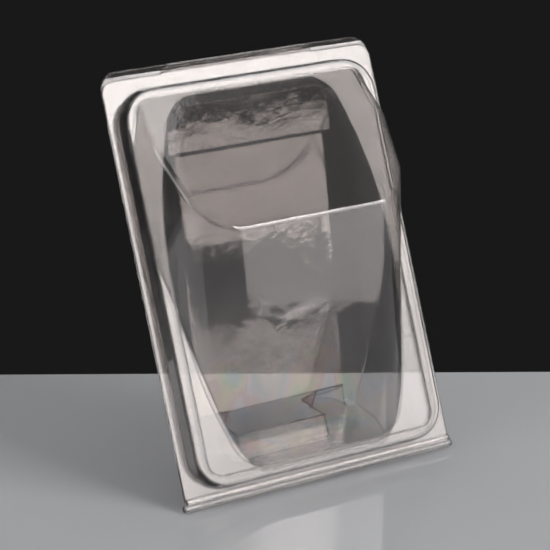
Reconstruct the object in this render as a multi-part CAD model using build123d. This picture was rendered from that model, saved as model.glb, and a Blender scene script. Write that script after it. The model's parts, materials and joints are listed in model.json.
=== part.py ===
from build123d import *
import math
import os

# A clear clamshell pack, thermoformed from one sheet and folded along its bottom edge.
# Two halves close on each other: a deep tray at the back and a domed lid at the front.
# The closed pack leans back and stands on its fold in front and on its feet behind.
# Both halves are drawn flat: X across the pack, Y up the flanges from the fold, and Z
# forward from the parting plane between the flanges. The closed pack is then leaned back.

# Sheet and stance
sheet = 0.45
parting_gap = 0.3
lean = 22.0

# Flanges, the flat borders that close on each other
flange_half_width = 69.1
tray_flange_height = 190.0
lid_flange_height = 186.0
tray_flange_corner = 9.0
lid_flange_corner = 6.0
lip_bend_up = 187.2
lip_bend = 14.0

# Fold: a rounded bead on each half, side by side along the bottom edge
fold_radius = 1.5
fold_overhang = 1.4
lid_bead_radius = 1.2
bead_gap = 0.3
bead_end_bevel = 0.5

# Lid rim, which caps the rim of the tray
rim_half_width = 64.6
rim_bottom = 3.4
rim_top = 180.4
rim_corner = 16.0
rim_draft = 6.4
rim_height = 8.0
rim_round = 0.9
ring_half_width = 58.2
ring_bottom = 9.3
ring_top = 175.1
ring_corner = 7.0
ring_step = 1.0
ring_notch_half_width = 34.6
ring_notch_bottom = 7.0
ring_notch_corner = 6.0

# Dome of the lid: a sloping window above a crown line, a long lower front, and flanks
crown_up = 112.0
crown_forward = 39.0
crown_half_width = 45.0
dome_foot_up = 6.7
dome_foot_half_width = 39.9
dome_half_width = 63.0
dome_draft = 22.0
shoulder_up = 103.0
top_corner_up = 155.0
top_corner_end_up = 168.0
top_corner_half_width = 58.2
top_corner_draft = 26.6
flank_round = 22.0
side_round = 10.0
crown_round = 3.5

# Pull tab at the top of the lid, bent a little forward for the thumb
tab_half_width = 39.0
tab_height = 3.8
tab_slant = 3.4
tab_bend = 12.0

# Tray rim, which nests inside the rim of the lid
nest_gap = 0.5
tray_rim_round = 0.8

# Pocket of the tray: a barrel outline, a sloping back and a rounded trough
barrel_middle_up = 91.7
barrel_half_width = 56.5
barrel_half_height = 82.3
barrel_side_radius = 208.0
barrel_corner = 17.0
pocket_draft = 4.0
back_start_up = 168.0
back_slope = 13.0
trough_half_width = 58.0
trough_round = 24.0
top_wall_foot_up = 168.6
ledge_up = 150.5
ledge_step = 1.3

# Lower end of the pocket: a raised floor, two lobes at the back and a foot between them
shelf_draft = 22.0
shelf_round = 4.0
heel_depth = 46.0
heel_half_width = 38.0
heel_round = 10.0
heel_ledge_up = 34.0
heel_ledge_depth = (back_start_up - heel_ledge_up) * math.tan(math.radians(back_slope))
heel_roof_drop = 3.0
foot_half_width = 23.5
foot_back_up = 19.5
foot_front_depth = 27.0
foot_round = 1.8

# Room that cutting shapes run past what they cut
past = 5.0
on_plane = 0.001


# Planes and their meeting edges

def plane_at(point, outward):
    return Plane(origin=point, z_dir=outward)


def plane_through(first, second, third):
    a, b, c = Vector(*first), Vector(*second), Vector(*third)
    outward = (b - a).cross(c - a)
    if outward.Z < 0:
        outward = outward * -1
    return plane_at(first, outward)


def facing_up(plane):
    if plane.z_dir.Y < 0:
        return plane_at(plane.origin, plane.z_dir * -1)
    return plane


def mirrored(plane):
    origin, outward = plane.origin, plane.z_dir
    return plane_at((-origin.X, origin.Y, origin.Z), (-outward.X, outward.Y, outward.Z))


def inside_of(shape, planes, inset):
    for plane in planes:
        shape = split(shape, bisect_by=plane.offset(-inset), keep=Keep.BOTTOM)
    return shape


def lies_on(edge, plane):
    ends = (edge @ 0, edge @ 1)
    return all(abs((end - plane.origin).dot(plane.z_dir)) < on_plane for end in ends)


def edges_between(shape, first, second, inset):
    one, other = first.offset(-inset), second.offset(-inset)
    return [edge for edge in shape.edges() if lies_on(edge, one) and lies_on(edge, other)]


def edges_behind(shape, depth):
    return [edge for edge in shape.edges() if (edge @ 0.5).Z < -depth - on_plane]


def edges_at_height(shape, height):
    level = Plane.XY.offset(height)
    return [edge for edge in shape.edges() if lies_on(edge, level)]


# Flat outlines

def rounded_panel(half_width, bottom, top, corner, level):
    panel = Rectangle(2 * half_width, top - bottom)
    if corner > 0:
        panel = fillet(panel.vertices(), corner)
    return Plane.XY.offset(level) * Pos(0, (top + bottom) / 2) * panel


def drafted_rim(inset, low, high):
    def outline(level):
        drawn_in = inset + max(level, 0) * math.tan(math.radians(rim_draft))
        return rounded_panel(
            rim_half_width - drawn_in,
            rim_bottom + drawn_in,
            rim_top - drawn_in,
            rim_corner - drawn_in,
            level,
        )

    return loft([outline(low), outline(high)], ruled=True)


def barrel(level, grow):
    half_width = barrel_half_width + grow
    half_height = barrel_half_height + grow
    radius = barrel_side_radius + grow
    end_half_width = half_width - radius + math.sqrt(radius ** 2 - half_height ** 2)
    right = ThreePointArc((end_half_width, half_height), (half_width, 0), (end_half_width, -half_height))
    left = mirror(right, about=Plane.YZ)
    top = Line((-end_half_width, half_height), (end_half_width, half_height))
    bottom = Line((-end_half_width, -half_height), (end_half_width, -half_height))
    outline = make_face([right, left, top, bottom])
    outline = fillet(outline.vertices(), barrel_corner + grow)
    return Plane.XY.offset(level) * Pos(0, barrel_middle_up) * outline


# Lid

def dome_planes():
    window = plane_through(
        (0, crown_up, crown_forward),
        (1, crown_up, crown_forward),
        (0, ring_top, rim_height),
    )
    lower_front = plane_through(
        (0, crown_up, crown_forward),
        (1, crown_up, crown_forward),
        (0, dome_foot_up, rim_height - ring_step),
    )
    flank = plane_through(
        (dome_half_width, shoulder_up, rim_height),
        (crown_half_width, crown_up, crown_forward),
        (dome_foot_half_width, dome_foot_up, rim_height),
    )
    side = plane_at((dome_half_width, 0, rim_height), (1, 0, math.tan(math.radians(dome_draft))))
    along_up = top_corner_end_up - top_corner_up
    along_in = dome_half_width - top_corner_half_width
    run = math.hypot(along_up, along_in)
    corner = plane_at(
        (dome_half_width, top_corner_up, rim_height),
        (along_up, along_in, run * math.tan(math.radians(top_corner_draft))),
    )
    return window, lower_front, flank, side, corner


def dome(inset):
    window, lower_front, flank, side, corner = dome_planes()
    low = rim_height - ring_step - sheet - inset
    high = crown_forward + past
    block = Pos(0, rim_top / 2, (low + high) / 2) * Box(2 * dome_half_width + past, rim_top, high - low)
    body = inside_of(block, [lower_front], inset)
    steps = [
        (flank, lower_front, flank_round),
        (side, flank, side_round),
        (corner, side, side_round),
    ]
    for cut, neighbour, radius in steps:
        body = inside_of(body, [cut, mirrored(cut)], inset)
        for a, b in ((cut, neighbour), (mirrored(cut), mirrored(neighbour))):
            body = fillet(edges_between(body, a, b, inset), radius - inset)
    body = inside_of(body, [window], inset)
    face = window.offset(-inset)
    crest = [
        edge for edge in body.edges()
        if lies_on(edge, face) and (edge @ 0.5).Z > rim_height
    ]
    return fillet(crest, crown_round - inset)


def ring_recess(grow, low):
    high = rim_height + past
    recess = rounded_panel(
        ring_half_width + grow, ring_bottom - grow, ring_top + grow, ring_corner + grow, low
    )
    notch = rounded_panel(
        ring_notch_half_width + grow,
        ring_notch_bottom - grow,
        ring_bottom + 2 * ring_notch_corner,
        ring_notch_corner,
        low,
    )
    return extrude(recess + notch, high - low)


def lid_form(inset, low):
    form = drafted_rim(inset, low, rim_height - inset)
    if inset == 0:
        form = fillet(edges_at_height(form, rim_height), rim_round)
    form -= ring_recess(inset, rim_height - ring_step - inset)
    return form + dome(inset)


def bent_plate(half_width, bottom, bend_up, top, low, bend):
    rise = (top - bend_up) * math.tan(math.radians(bend))
    profile = Polyline(
        (bottom, low),
        (bend_up, low),
        (top, low + rise),
        (top, low + rise + sheet),
        (bend_up, low + sheet),
        (bottom, low + sheet),
        close=True,
    )
    return extrude(Plane.YZ.offset(-half_width) * make_face(profile), 2 * half_width)


def pull_tab(low):
    root = lid_flange_height - tab_height
    tip = lid_flange_height + tab_height
    outline = Polyline(
        (-tab_half_width, root),
        (tab_half_width, root),
        (tab_half_width, lid_flange_height),
        (tab_half_width - tab_slant, tip),
        (tab_slant - tab_half_width, tip),
        (-tab_half_width, lid_flange_height),
        close=True,
    )
    column = extrude(Plane.XY.offset(low) * make_face(outline), past)
    return bent_plate(tab_half_width, root, lid_flange_height, tip, low, tab_bend) & column


def flange(half_width, bottom, bend_up, top, corner, low, bend):
    outline = Rectangle(2 * half_width, top - bottom)
    upper = outline.vertices().group_by(Axis.Y)[-1]
    outline = fillet(upper, corner)
    column = extrude(Plane.XY.offset(low - past) * Pos(0, (top + bottom) / 2) * outline, 2 * past)
    return bent_plate(half_width, bottom, bend_up, top, low, bend) & column


def lid_bead_middle():
    forward = parting_gap / 2 + lid_bead_radius
    reach = fold_radius + bead_gap + lid_bead_radius
    return -fold_radius + math.sqrt(reach ** 2 - forward ** 2), forward


def bar(half_length, radius, up, forward):
    rod = Rot(0, 90, 0) * Cylinder(radius, 2 * half_length)
    ends = [edge for edge in rod.edges() if edge.geom_type == GeomType.CIRCLE]
    return Pos(0, up, forward) * chamfer(ends, bead_end_bevel)


def front_lid():
    bead_up, bead_forward = lid_bead_middle()
    back = parting_gap / 2
    top = lid_flange_height
    body = flange(flange_half_width, bead_up, top - lid_flange_corner, top, lid_flange_corner, back, 0)
    body += pull_tab(back)
    body += lid_form(0, back)
    body -= lid_form(sheet, back - past)
    return body + bar(flange_half_width, lid_bead_radius, bead_up, bead_forward)


# Tray

def floor_plane():
    angle = math.radians(lean)
    down = (0, -math.cos(angle), -math.sin(angle))
    touch = (0, -fold_radius * (1 + math.cos(angle)), -fold_radius * math.sin(angle))
    return plane_at(touch, down)


def tray_land():
    return rim_height - ring_step - sheet - nest_gap


def drafted_barrel(grow, high):
    deep = -heel_depth - past
    slope = math.tan(math.radians(pocket_draft))
    top = barrel(high, grow + (high - tray_land()) * slope)
    bottom = barrel(deep, grow + (deep - tray_land()) * slope)
    return loft([top, bottom], ruled=True)


def trough(inset):
    angle = math.radians(back_slope)
    along = (0, -math.cos(angle), -math.sin(angle))
    across = Plane(origin=(0, back_start_up, 0), x_dir=(1, 0, 0), z_dir=along)
    tall = 2 * trough_half_width
    section = Pos(0, inset + tall / 2) * Rectangle(2 * (trough_half_width - inset), tall)
    section = fillet(section.vertices().group_by(Axis.Y)[0], trough_round - inset)
    long = back_start_up + past
    form = extrude(across * section, long) + extrude(across * section, -4 * past)
    reach = (back_start_up - ledge_up) / math.cos(angle)
    slant = plane_at(across.origin + across.z_dir * (reach + ledge_step), across.z_dir + across.y_dir)
    proud = ledge_step + inset
    step = Pos(0, proud / 2) * Rectangle(2 * trough_half_width, proud)
    panel = extrude(across * step, reach + 2 * proud) + extrude(across * step, -4 * past)
    return form - inside_of(panel, [slant], -inset)


def heel_planes():
    roof = plane_through(
        (0, heel_ledge_up, -heel_ledge_depth),
        (1, heel_ledge_up, -heel_ledge_depth),
        (0, heel_ledge_up - heel_roof_drop, -heel_depth),
    )
    foot_back = plane_through(
        (0, heel_ledge_up, -heel_ledge_depth),
        (1, heel_ledge_up, -heel_ledge_depth),
        (0, foot_back_up, -heel_depth),
    )
    return facing_up(roof), facing_up(foot_back)


def heel(inset):
    roof, foot_back = heel_planes()
    length = heel_ledge_up + past
    front = heel_ledge_depth - heel_round
    deep = 2 * (heel_depth - front - inset)
    plan = Rectangle(2 * (heel_half_width - inset), deep)
    plan = fillet(plan.vertices(), heel_round - inset)
    lobes = extrude(Plane.XZ * Pos(0, -front) * plan, -length)
    lobes &= Pos(0, 0, -front - heel_depth / 2) * Box(4 * heel_half_width, 4 * length, heel_depth)
    lobes = inside_of(lobes, [roof, shelf_plane()], inset)
    middle = Box(2 * (foot_half_width - inset), 4 * length, 4 * heel_depth)
    recess = Box(2 * (foot_half_width + inset), 4 * length, 4 * heel_depth)
    recess -= inside_of(recess, [foot_back], inset)
    foot = inside_of(middle, [foot_back, floor_plane()], inset)
    foot &= Pos(0, 0, -(foot_front_depth + heel_depth) / 2) * Box(
        4 * heel_half_width, 4 * length, heel_depth - foot_front_depth - 2 * inset
    )
    foot = fillet(edges_behind(foot, foot_front_depth + inset), foot_round - inset)
    return (lobes - recess) + foot


def shelf_plane():
    angle = math.radians(shelf_draft)
    lip = barrel_middle_up - barrel_half_height - sheet
    return plane_at((0, lip, tray_land()), (0, -math.cos(angle), -math.sin(angle)))


def pocket(inset, high):
    shell = drafted_barrel(sheet - inset, high)
    shelf = shelf_plane()
    main = inside_of(trough(inset), [shelf], inset)
    main = fillet(edges_between(main, shelf, shelf, inset), shelf_round - inset)
    form = (main + heel(inset)) & shell
    top_wall = facing_up(plane_through(
        (0, barrel_middle_up + barrel_half_height + sheet, tray_land()),
        (1, barrel_middle_up + barrel_half_height + sheet, tray_land()),
        (0, top_wall_foot_up, 0),
    ))
    return inside_of(form, [floor_plane(), top_wall], inset)


def rear_tray():
    front = -parting_gap / 2
    body = flange(
        flange_half_width,
        -fold_radius,
        lip_bend_up,
        tray_flange_height,
        tray_flange_corner,
        front - sheet,
        -lip_bend,
    )
    gap = sheet + nest_gap
    rim = drafted_rim(gap, front - sheet, tray_land())
    rim = fillet(edges_at_height(rim, tray_land()), tray_rim_round)
    body += rim
    body -= drafted_rim(gap + sheet, front - past, tray_land() - sheet)
    body += pocket(0, tray_land())
    body -= pocket(sheet, tray_land() + past)
    return body + bar(flange_half_width + fold_overhang, fold_radius, -fold_radius, 0)


# Stance of the closed pack: leaned back, standing on z = 0, with the origin under its middle

def lean_back(shape):
    return Pos(0, 0, fold_radius) * Rot(90 - lean, 0, 0) * Pos(0, fold_radius, 0) * shape


tray = lean_back(rear_tray())
lid = lean_back(front_lid())
middle = Compound([tray, lid]).bounding_box().center()
to_origin = Pos(-middle.X, -middle.Y, 0)

os.makedirs("parts", exist_ok=True)
export_step(to_origin * tray, "parts/rear_tray.step")
export_step(to_origin * lid, "parts/front_lid.step")
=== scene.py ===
import bmesh
import bpy
import json
import math
from mathutils import Matrix, Vector


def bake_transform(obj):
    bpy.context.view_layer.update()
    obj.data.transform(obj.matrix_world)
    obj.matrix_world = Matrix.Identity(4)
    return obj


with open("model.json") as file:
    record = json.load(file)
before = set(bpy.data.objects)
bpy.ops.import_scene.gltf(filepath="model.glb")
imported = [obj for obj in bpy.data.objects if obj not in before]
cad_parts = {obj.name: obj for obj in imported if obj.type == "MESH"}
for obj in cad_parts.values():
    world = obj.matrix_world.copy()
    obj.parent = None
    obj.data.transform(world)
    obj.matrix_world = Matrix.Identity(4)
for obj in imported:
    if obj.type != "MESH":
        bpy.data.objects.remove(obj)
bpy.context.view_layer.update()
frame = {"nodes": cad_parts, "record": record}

# Camera. A long lens looks down at the pack from its front left, as for a product shot.
# It is aimed at the middle of the closed pack and tipped by a third of a degree.
camera_place = Vector((-0.5283, -0.8608, 0.4341))
camera_aim = Vector((-0.0063, -0.0055, 0.0885))
camera_tip = math.radians(0.3)
camera_lens_mm = 157.1
camera_film_mm = 36.0


def looking(place, aim):
    return (Vector(aim) - Vector(place)).to_track_quat("-Z", "Y")


camera_data = bpy.data.cameras.new("camera")
camera_data.lens = camera_lens_mm
camera_data.sensor_width = camera_film_mm
camera = bpy.data.objects.new("camera", camera_data)
camera.rotation_mode = "QUATERNION"
camera.location = camera_place
tipped = Matrix.Rotation(-camera_tip, 3, "Z").to_quaternion()
camera.rotation_quaternion = looking(camera_place, camera_aim) @ tipped
bpy.context.scene.collection.objects.link(camera)
bpy.context.scene.camera = camera
bpy.context.scene.view_settings.view_transform = "Standard"

# Table top. A pale grey board with a polished face that mirrors the pack softly.
# Its far edge is square to the camera, a few centimetres behind the pack.
table_turn = math.radians(-31.4)
table_half_width = 1.5
table_near = -1.5
table_far = 0.101
table_thickness = 0.012
table_drop = 0.0003
table_edge_round = 0.0012
table_edge_steps = 3
table_cloud_scale = 2.2
table_cloud_detail = 3.0
table_tones = [(0.3, (0.43, 0.446, 0.468)), (0.7, (0.47, 0.486, 0.508))]
table_roughness = 0.03
table_ior = 1.5


def new_piece(name, mesh_bm, material):
    mesh = bpy.data.meshes.new(name)
    mesh_bm.to_mesh(mesh)
    mesh_bm.free()
    mesh.materials.append(material)
    piece = bpy.data.objects.new(name, mesh)
    bpy.context.scene.collection.objects.link(piece)
    return piece


def new_material(name):
    material = bpy.data.materials.new(name)
    material.use_nodes = True
    tree = material.node_tree
    return material, tree, tree.nodes["Principled BSDF"]


def new_node(tree, kind, feeds=None, **settings):
    """Add a node. Each input named in feeds takes a value, or a link from another node's output."""
    node = tree.nodes.new("ShaderNode" + kind)
    for setting, choice in settings.items():
        setattr(node, setting, choice)
    for socket_name, feed in (feeds or {}).items():
        if isinstance(feed, bpy.types.NodeSocket):
            tree.links.new(feed, node.inputs[socket_name])
        else:
            node.inputs[socket_name].default_value = feed
    return node


def noise(tree, place, scale, detail):
    texture = new_node(tree, "TexNoise", {"Vector": place, "Scale": scale, "Detail": detail})
    return texture.outputs["Fac"]


def tones(tree, value, stops):
    node = new_node(tree, "ValToRGB", {"Fac": value})
    first, last = node.color_ramp.elements
    for stop, (position, color) in ((first, stops[0]), (last, stops[-1])):
        stop.position = position
        stop.color = color + (1,)
    for position, color in stops[1:-1]:
        node.color_ramp.elements.new(position).color = color + (1,)
    return node.outputs["Color"]


table_finish, tree, shader = new_material("polished_grey_board")
board = new_node(tree, "TexCoord").outputs["Object"]
cloud = noise(tree, board, table_cloud_scale, table_cloud_detail)
tree.links.new(tones(tree, cloud, table_tones), shader.inputs["Base Color"])
shader.inputs["Roughness"].default_value = table_roughness
shader.inputs["IOR"].default_value = table_ior

table_bm = bmesh.new()
bmesh.ops.create_cube(table_bm, size=1.0)
table_size = (2 * table_half_width, table_far - table_near, table_thickness)
table_middle = (0, (table_far + table_near) / 2, -table_thickness / 2 - table_drop)
bmesh.ops.scale(table_bm, vec=table_size, verts=table_bm.verts)
bmesh.ops.translate(table_bm, vec=table_middle, verts=table_bm.verts)
bmesh.ops.bevel(
    table_bm, geom=table_bm.edges[:], offset=table_edge_round, offset_type="OFFSET", affect="EDGES",
    segments=table_edge_steps, profile=0.5, material=-1,
)
squared = Matrix.Rotation(table_turn, 3, "Z")
bmesh.ops.rotate(table_bm, cent=(0, 0, 0), matrix=squared, verts=table_bm.verts)
table_top = new_piece("table_top", table_bm, table_finish)

# Backdrop. Dark cloth a long way off, seen straight and through the clear sheet alike.
# Everything else that the pack mirrors is a dim, even studio, paler overhead.
cloth_tone = (0.0097, 0.0097, 0.0097, 1)
studio_tones = [(0.45, (0.09, 0.088, 0.086)), (0.95, (0.24, 0.232, 0.228))]


def reckoned(tree, operation, *numbers):
    return new_node(tree, "Math", dict(enumerate(numbers)), operation=operation).outputs["Value"]


def rescaled(tree, value, span, to_span=(0.0, 1.0)):
    feeds = {"Value": value, "From Min": span[0], "From Max": span[1]}
    feeds.update({"To Min": to_span[0], "To Max": to_span[1]})
    return new_node(tree, "MapRange", feeds).outputs["Result"]


def height_of(tree, place):
    return new_node(tree, "SeparateXYZ", {"Vector": place}).outputs["Z"]


world = bpy.data.worlds.new("studio")
bpy.context.scene.world = world
world.use_nodes = True
tree = world.node_tree
studio = tree.nodes["Background"]
outwards = new_node(tree, "TexCoord").outputs["Generated"]
upward = rescaled(tree, height_of(tree, outwards), (-1.0, 1.0))
tree.links.new(tones(tree, upward, studio_tones), studio.inputs["Color"])
cloth = new_node(tree, "Background", {"Color": cloth_tone})
path = new_node(tree, "LightPath").outputs
seen = reckoned(tree, "MAXIMUM", path["Is Camera Ray"], path["Is Transmission Ray"])
mix = new_node(tree, "MixShader", {0: seen, 1: studio.outputs[0], 2: cloth.outputs[0]})
tree.links.new(mix.outputs["Shader"], tree.nodes["World Output"].inputs["Surface"])

# Lamps. A tall softbox on the right lights the flanges, which mirror it to the camera. It
# grows brighter upwards and is hot along its top. A low white card stands under it, just
# above the table. Three dim panels fill in from overhead, from the left and from behind.
softbox_away = 1.25
softbox_turn = math.radians(31)
softbox_width = 0.85
softbox_foot = 0.27
softbox_top = 1.16
softbox_hot = 16.0
softbox_glow = [(softbox_foot, 2.6), (0.5, 4.1), (0.75, 5.9), (0.92, 6.4), (0.95, softbox_hot)]
softbox_tint = (1.0, 0.97, 0.955)
softbox_unit = 1.0
card_foot = 0.045
card_top = 0.16
card_radiance = 4.0
card_tint = (1.0, 0.935, 0.905)
pack_middle = (0, 0, 0.09)
# Each panel is its name, place, width, height, radiance and tint.
fill_panels = [
    ("panel_overhead", (0.0, 0.1, 1.6), 1.5, 1.2, 1.1, (1, 1, 1)),
    ("panel_left", (-1.2, -0.1, 0.7), 0.35, 1.0, 2.2, (1, 0.99, 0.98)),
    ("panel_behind", (-0.3, 1.3, 0.8), 1.2, 0.3, 1.6, (1, 1, 1)),
]


def new_lamp(name, lamp_place, aim, wide, tall, radiance, color):
    lamp_data = bpy.data.lights.new(name, "AREA")
    lamp_data.shape = "RECTANGLE"
    lamp_data.size = wide
    lamp_data.size_y = tall
    lamp_data.energy = radiance * math.pi * wide * tall
    lamp_data.color = color
    lamp = bpy.data.objects.new(name, lamp_data)
    lamp.rotation_mode = "QUATERNION"
    lamp.location = lamp_place
    lamp.rotation_quaternion = looking(lamp_place, aim)
    lamp.visible_camera = False
    bpy.context.scene.collection.objects.link(lamp)
    return lamp_data


def upright_panel(name, foot, top, radiance, color):
    middle = (foot + top) / 2
    across = softbox_away * math.sin(softbox_turn)
    back = -softbox_away * math.cos(softbox_turn)
    return new_lamp(
        name, (across, back, middle), (0, 0, middle), softbox_width, top - foot, radiance, color
    )


softbox = upright_panel("softbox_right", softbox_foot, softbox_top, softbox_unit, softbox_tint)
softbox.use_nodes = True
tree = softbox.node_tree
spot_height = height_of(tree, new_node(tree, "NewGeometry").outputs["Position"])
upward = rescaled(tree, spot_height, (softbox_foot, softbox_top))
glow_stops = []
for glow_height, radiance in softbox_glow:
    share_up = (glow_height - softbox_foot) / (softbox_top - softbox_foot)
    glow_stops.append((share_up, (radiance / softbox_hot,) * 3))
strength = reckoned(tree, "MULTIPLY", tones(tree, upward, glow_stops), softbox_hot)
tree.links.new(strength, tree.nodes["Emission"].inputs["Strength"])

upright_panel("white_card", card_foot, card_top, card_radiance, card_tint)
for name, panel_place, wide, tall, radiance, color in fill_panels:
    new_lamp(name, panel_place, pack_middle, wide, tall, radiance, color)

# Clear sheet. Both halves are one thin clear plastic, stretched warm over a mould, which leaves
# slow waves, fine ripples and a faint haze. Handling adds light scratches and smudges.
# A noise is written as its scale and detail, and a run stretches it along the draw.
wave_noise = (28, 1.5)
ripple_noise = (150, 3.0)
ripple_height = 0.03
scratch_noise = (90, 2.0)
scratch_run = (1, 0.06, 0.3)
scratch_line_level = 0.5
scratch_line_width = 0.006
scratch_patch_noise = (22, 2.0)
scratch_patch_span = (0.52, 0.62)
scratch_depth = 0.0015
scratch_roughness = 0.15
smudge_noise = (35, 4.0)
smudge_span = (0.45, 0.75)
smudge_roughness = (0.02, 0.07)
haze_noise = (16, 3.0)
haze_span = (0.35, 0.7)
haze_share = (0.0, 0.6)
streak_noise = (75, 2.0)
streak_run = (1, 0.05, 0.05)
streak_span = (0.5, 0.66)
streak_share = (0.0, 0.5)
clear_tint = (0.94, 0.915, 0.905, 1)
hazy_tint = (0.895, 0.868, 0.858, 1)
wave_unit = 0.001
slant_blend = 0.5
calm_slant = (0.4, 0.85)
calm_strength = (1.0, 0.1)
crease_round = 0.001
crease_samples = 4
sheet_ior = 1.575
sheet_transmission = 0.985


def sheet_marks():
    group = bpy.data.node_groups.new("sheet_marks", "ShaderNodeTree")
    face = group.interface
    face.new_socket("Shift", in_out="INPUT", socket_type="NodeSocketVector")
    face.new_socket("Wave height", in_out="INPUT", socket_type="NodeSocketFloat")
    face.new_socket("Height", in_out="OUTPUT", socket_type="NodeSocketFloat")
    face.new_socket("Roughness", in_out="OUTPUT", socket_type="NodeSocketFloat")
    face.new_socket("Haze", in_out="OUTPUT", socket_type="NodeSocketFloat")
    inside = group.nodes.new("NodeGroupInput")
    outside = group.nodes.new("NodeGroupOutput")
    place = new_node(group, "TexCoord").outputs["Object"]
    moved = new_node(group, "VectorMath", {0: place, 1: inside.outputs["Shift"]}, operation="ADD")
    spot = moved.outputs["Vector"]

    def along(run):
        return new_node(group, "Mapping", {"Vector": spot, "Scale": run}).outputs["Vector"]

    slow = noise(group, spot, *wave_noise)
    waves = reckoned(group, "MULTIPLY", slow, inside.outputs["Wave height"])
    ripples = reckoned(group, "MULTIPLY", noise(group, spot, *ripple_noise), ripple_height)
    off_line = reckoned(
        group, "SUBTRACT", noise(group, along(scratch_run), *scratch_noise), scratch_line_level
    )
    off_line = reckoned(group, "ABSOLUTE", off_line)
    lines = rescaled(group, off_line, (0.0, scratch_line_width), (1.0, 0.0))
    patches = rescaled(group, noise(group, spot, *scratch_patch_noise), scratch_patch_span)
    scratches = reckoned(group, "MULTIPLY", lines, patches)
    grooves = reckoned(group, "MULTIPLY", scratches, scratch_depth)
    height = reckoned(group, "SUBTRACT", reckoned(group, "ADD", waves, ripples), grooves)
    smudges = rescaled(group, noise(group, spot, *smudge_noise), smudge_span, smudge_roughness)
    scuffs = reckoned(group, "MULTIPLY", scratches, scratch_roughness)
    cloudy = rescaled(group, noise(group, spot, *haze_noise), haze_span, haze_share)
    streaks = noise(group, along(streak_run), *streak_noise)
    streaks = rescaled(group, streaks, streak_span, streak_share)
    group.links.new(height, outside.inputs["Height"])
    group.links.new(reckoned(group, "ADD", smudges, scuffs), outside.inputs["Roughness"])
    group.links.new(reckoned(group, "ADD", cloudy, streaks), outside.inputs["Haze"])
    return group


marks_group = sheet_marks()


def clear_sheet(name, shift, wave_height):
    """Make a finish. Its bump fades where the sheet is seen aslant, so reflections stay whole."""
    material, tree, shader = new_material(name)
    own_marks = {"Shift": shift, "Wave height": wave_height}
    marks = new_node(tree, "Group", own_marks, node_tree=marks_group)
    crease = new_node(tree, "Bevel", {"Radius": crease_round}, samples=crease_samples)
    slant = new_node(tree, "LayerWeight", {"Blend": slant_blend})
    bump = new_node(tree, "Bump", {
        "Strength": rescaled(tree, slant.outputs["Facing"], calm_slant, calm_strength),
        "Distance": wave_unit,
        "Height": marks.outputs["Height"],
        "Normal": crease.outputs["Normal"],
    })
    hazes = {"Factor": marks.outputs["Haze"], "A": clear_tint, "B": hazy_tint}
    tint = new_node(tree, "Mix", hazes, data_type="RGBA")
    tree.links.new(bump.outputs["Normal"], shader.inputs["Normal"])
    tree.links.new(marks.outputs["Roughness"], shader.inputs["Roughness"])
    tree.links.new(tint.outputs["Result"], shader.inputs["Base Color"])
    shader.inputs["IOR"].default_value = sheet_ior
    shader.inputs["Transmission Weight"].default_value = sheet_transmission
    return material


# Rear tray. The deep back half, drawn from the clear sheet: a flat border, a nesting rim and a
# barrel-mouthed pocket. It is the more wavy of the two. Beside its foot, faint rainbow bands are
# painted into its tint: a painted sheen for the colours its strained sheet shows in polarised
# reflected light.
tray_shift = (3.1, 1.7, 0.4)
tray_wave_height = 0.22
# Painted sheen: the spot, reach, bands and colours below paint rainbow tints into the clear tray by
# its foot.
strain_sheen_spot = (0.026, 0.009, 0.028)
strain_sheen_reach = (0.012, 0.026)
strain_sheen_fade = (1.0, 0.0)
strain_sheen_band_noise = (42.0, 1.0)
strain_sheen_band_turns = 3.0
painted_strain_sheen_colors = [
    (0.0, (0.97, 0.74, 0.82)),
    (0.28, (0.96, 0.93, 0.72)),
    (0.5, (0.74, 0.95, 0.82)),
    (0.74, (0.74, 0.82, 0.98)),
    (1.0, (1.0, 1.0, 1.0)),
]

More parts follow.
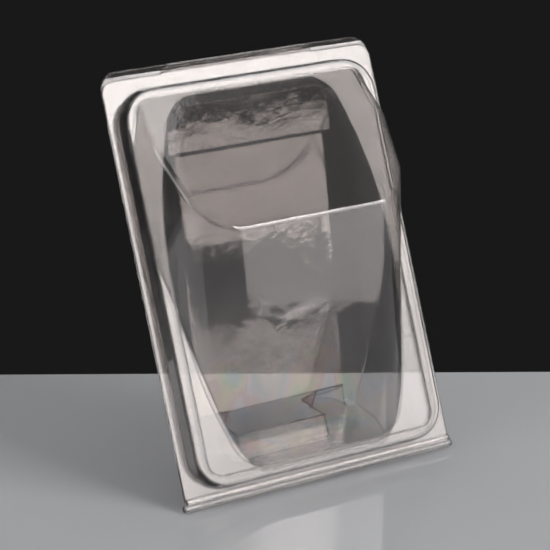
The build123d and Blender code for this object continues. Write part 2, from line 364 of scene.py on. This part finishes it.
tray = frame["nodes"]["rear_tray"]
tray_finish = clear_sheet("clear_sheet_tray", tray_shift, tray_wave_height)
tree = tray_finish.node_tree
base_color = tree.nodes["Principled BSDF"].inputs["Base Color"]
plain_tint = base_color.links[0].from_socket
# Mix the painted strain sheen into the tray's tint. It is strongest at the spot beside the foot.
place = new_node(tree, "TexCoord").outputs["Object"]
both_sides = new_node(tree, "VectorMath", {0: place}, operation="ABSOLUTE").outputs["Vector"]
away = new_node(tree, "VectorMath", {0: both_sides, 1: strain_sheen_spot}, operation="DISTANCE")
strain_sheen_mask = rescaled(tree, away.outputs["Value"], strain_sheen_reach, strain_sheen_fade)
strain_sheen_bands = noise(tree, place, *strain_sheen_band_noise)
strain_sheen_phase = reckoned(tree, "MULTIPLY_ADD", strain_sheen_bands, strain_sheen_band_turns, strain_sheen_mask)
painted_strain_sheen = tones(tree, reckoned(tree, "FRACT", strain_sheen_phase), painted_strain_sheen_colors)
strain_sheen_tints = {"Factor": strain_sheen_mask, "A": plain_tint, "B": painted_strain_sheen}
strain_sheen_tinted = new_node(tree, "Mix", strain_sheen_tints, data_type="RGBA")
tree.links.new(strain_sheen_tinted.outputs["Result"], base_color)
tray.material_slots[0].material = tray_finish

# Front lid. The domed front half, drawn from the same clear sheet, with its pull tab, its ring
# and its sloping window. The ring caps the tray's rim, and friction between them holds it shut.
lid_shift = (0.0, 0.0, 0.0)
lid_wave_height = 0.2

lid = frame["nodes"]["front_lid"]
lid.material_slots[0].material = clear_sheet("clear_sheet_lid", lid_shift, lid_wave_height)

# Fold film. The sheet runs on across the fold as a thin, flexible skin between the two beads,
# pressed thin in the mould.
tray_bead_radius = 0.0015
lid_bead_near = 0.0018
film_bite = 0.00008
film_thickness = 0.0002
film_half_width = 0.0691
film_rows = 14
toward_lid = Vector((0, -0.083, 0.9966)).normalized()

fold = frame["record"]["behaviour"]["joints"][0]
fold_axis = Vector(fold["pos_m"])
film_bm = bmesh.new()
bmesh.ops.create_grid(film_bm, x_segments=1, y_segments=film_rows, size=0.5)
film_height = lid_bead_near - tray_bead_radius + 2 * film_bite
film_middle = (tray_bead_radius + lid_bead_near) / 2
bmesh.ops.scale(film_bm, vec=(2 * film_half_width, film_height, 1), verts=film_bm.verts)
bmesh.ops.translate(film_bm, vec=(0, film_middle, 0), verts=film_bm.verts)
bmesh.ops.solidify(film_bm, geom=film_bm.faces[:], thickness=film_thickness)
bmesh.ops.translate(film_bm, vec=(0, 0, -film_thickness / 2), verts=film_bm.verts)
bmesh.ops.recalc_face_normals(film_bm, faces=film_bm.faces)
stand = Vector((0, 1, 0)).rotation_difference(toward_lid).to_matrix()
bmesh.ops.rotate(film_bm, cent=(0, 0, 0), matrix=stand, verts=film_bm.verts)
bmesh.ops.translate(film_bm, vec=fold_axis, verts=film_bm.verts)
fold_film = new_piece("fold_film", film_bm, tray_finish)
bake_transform(fold_film)
